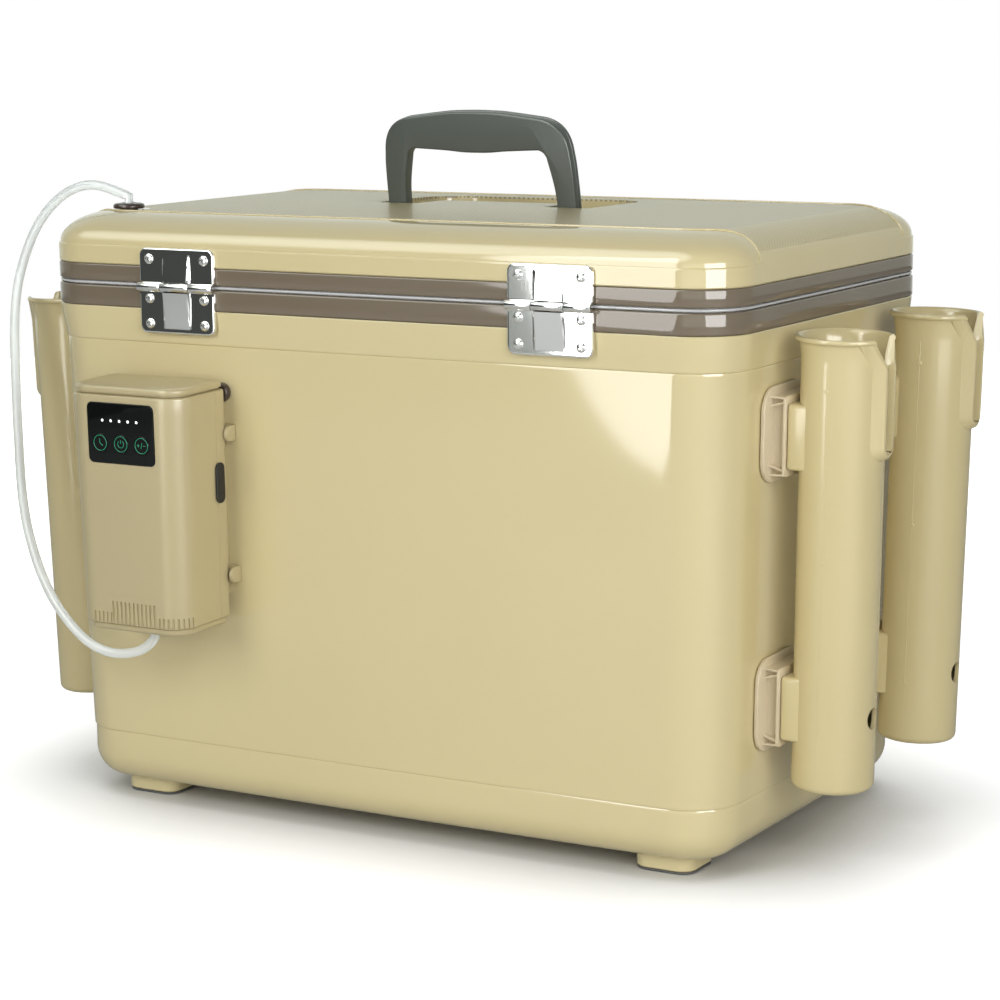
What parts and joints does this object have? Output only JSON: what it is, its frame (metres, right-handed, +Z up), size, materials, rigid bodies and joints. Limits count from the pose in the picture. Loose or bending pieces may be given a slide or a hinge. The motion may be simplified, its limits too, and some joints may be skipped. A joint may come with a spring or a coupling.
{
  "type": "insulated live bait box",
  "caption": "Insulated rectangular live-bait box with hinged lid, folding handle, tubular rod holders and a clip-on battery air pump with hose.",
  "frame": {"origin": "on the ground, under the middle of the box with its rod holders, pump and open latches, the loose air hose left out", "axes": "+X along the box, -Y to the hinge side that carries the air pump, +Y to the latch side, +Z up"},
  "size_m": [0.6116, 0.4076, 0.4393],
  "materials": {
    "tan_plastic": "glossy moulded olive-tan plastic",
    "pump_plastic": "satin warm beige plastic",
    "bracket_plastic": "satin pinkish beige plastic",
    "band_plastic": "glossy grey-brown plastic",
    "liner_plastic": "smooth white plastic",
    "foam": "rigid insulating foam, unseen",
    "black_rubber": "matte black rubber",
    "brown_rubber": "glossy dark brown rubber",
    "gasket_rubber": "soft white seal",
    "stainless_steel": "mirror polished stainless steel",
    "grey_plastic": "satin dark olive-grey plastic",
    "panel_black": "gloss black panel",
    "clear_hose": "clear flexible vinyl tube",
    "circuit_board": "green board, unseen",
    "battery_wrap": "shrink-wrapped cell pack, unseen",
    "air_stone": "porous air stone"
  },
  "bodies": {
    "tub": {"tub_shell": "tan_plastic", "foot_pad_left_front": "black_rubber", "foot_pad_left_back": "black_rubber", "foot_pad_right_front": "black_rubber", "foot_pad_right_back": "black_rubber", "tub_band": "band_plastic", "tub_liner": "liner_plastic", "tub_foam": "foam", "hinge_lower_leaf_left": "stainless_steel", "hinge_pin_left": "stainless_steel", "hinge_lower_leaf_right": "stainless_steel", "hinge_pin_right": "stainless_steel", "rod_holder_left_front": "tan_plastic", "rod_bracket_left_front_lower": "bracket_plastic", "rod_bracket_left_front_upper": "bracket_plastic", "rod_holder_left_back": "tan_plastic", "rod_bracket_left_back_lower": "bracket_plastic", "rod_bracket_left_back_upper": "bracket_plastic", "rod_holder_right_front": "tan_plastic", "rod_bracket_right_front_lower": "bracket_plastic", "rod_bracket_right_front_upper": "bracket_plastic", "rod_holder_right_back": "tan_plastic", "rod_bracket_right_back_lower": "bracket_plastic", "rod_bracket_right_back_upper": "bracket_plastic", "pump_case": "pump_plastic", "control_panel": "panel_black", "pump_top_cap": "pump_plastic", "pump_bottom_cap": "pump_plastic", "hose_barb": "liner_plastic", "pump_back": "grey_plastic", "pump_bracket": "pump_plastic", "pump_hanger": "black_rubber", "circuit_board": "circuit_board", "battery": "battery_wrap", "air_pump_motor": "grey_plastic", "air_stone": "air_stone", "inner_air_tube": "clear_hose", "air_tube": "clear_hose", "latch_base_left": "stainless_steel", "latch_base_right": "stainless_steel"},
    "lid": {"lid_cover": "tan_plastic", "lid_band": "band_plastic", "lid_liner": "liner_plastic", "lid_foam": "foam", "lid_gasket": "gasket_rubber", "hinge_upper_leaf_left": "stainless_steel", "hinge_upper_leaf_right": "stainless_steel", "hose_grommet": "brown_rubber", "latch_keeper_left": "stainless_steel", "latch_keeper_right": "stainless_steel"},
    "carrying_handle": {"handle": "grey_plastic"},
    "timer_button": {"button_timer": "panel_black"},
    "power_button": {"button_power": "panel_black"},
    "speed_button": {"button_speed": "panel_black"},
    "port_flap": {"port_cover": "black_rubber"},
    "lever_left": {"latch_lever_left": "stainless_steel"},
    "bail_left": {"latch_bail_left": "stainless_steel"},
    "lever_right": {"latch_lever_right": "stainless_steel"},
    "bail_right": {"latch_bail_right": "stainless_steel"}
  },
  "joints": [
    {"name": "lid_hinge", "type": "hinge", "parent": "tub", "child": "lid", "pos_m": [0, -0.15378, 0.3345], "axis": [1, 0, 0], "range_deg": [0, 105], "deforming": ["air_tube", "inner_air_tube"]},
    {"name": "handle_fold", "type": "hinge", "parent": "lid", "child": "carrying_handle", "pos_m": [0, 0.00049, 0.37], "axis": [-1, 0, 0], "range_deg": [0, 101]},
    {"name": "latch_lever_left", "type": "hinge", "parent": "tub", "child": "lever_left", "pos_m": [-0.13, 0.16027, 0.318], "axis": [-1, 0, 0], "range_deg": [0, 110]},
    {"name": "latch_bail_left", "type": "hinge", "parent": "lever_left", "child": "bail_left", "pos_m": [-0.13, 0.17005, 0.32156], "axis": [1, 0, 0], "range_deg": [0, 135]},
    {"name": "latch_lever_right", "type": "hinge", "parent": "tub", "child": "lever_right", "pos_m": [0.13, 0.16027, 0.318], "axis": [-1, 0, 0], "range_deg": [0, 110]},
    {"name": "latch_bail_right", "type": "hinge", "parent": "lever_right", "child": "bail_right", "pos_m": [0.13, 0.17005, 0.32156], "axis": [1, 0, 0], "range_deg": [0, 135]},
    {"name": "button_timer", "type": "slide", "parent": "tub", "child": "timer_button", "axis": [0, 0.9997, 0.026], "range_m": [0, 0.0006], "stiffness_N_per_m": 600, "springref_m": -0.0005},
    {"name": "button_power", "type": "slide", "parent": "tub", "child": "power_button", "axis": [0, 0.9997, 0.026], "range_m": [0, 0.0006], "stiffness_N_per_m": 600, "springref_m": -0.0005},
    {"name": "button_speed", "type": "slide", "parent": "tub", "child": "speed_button", "axis": [0, 0.9997, 0.026], "range_m": [0, 0.0006], "stiffness_N_per_m": 600, "springref_m": -0.0005},
    {"name": "port_cover", "type": "hinge", "parent": "tub", "child": "port_flap", "pos_m": [-0.0946, -0.16077, 0.20472], "axis": [0, 0.9997, 0.026], "range_deg": [0, 110]}
  ],
  "couplings": [
    {"joint": "latch_bail_left", "follows": "latch_lever_left", "ratio": 1.2273},
    {"joint": "latch_bail_right", "follows": "latch_lever_right", "ratio": 1.2273}
  ]
}
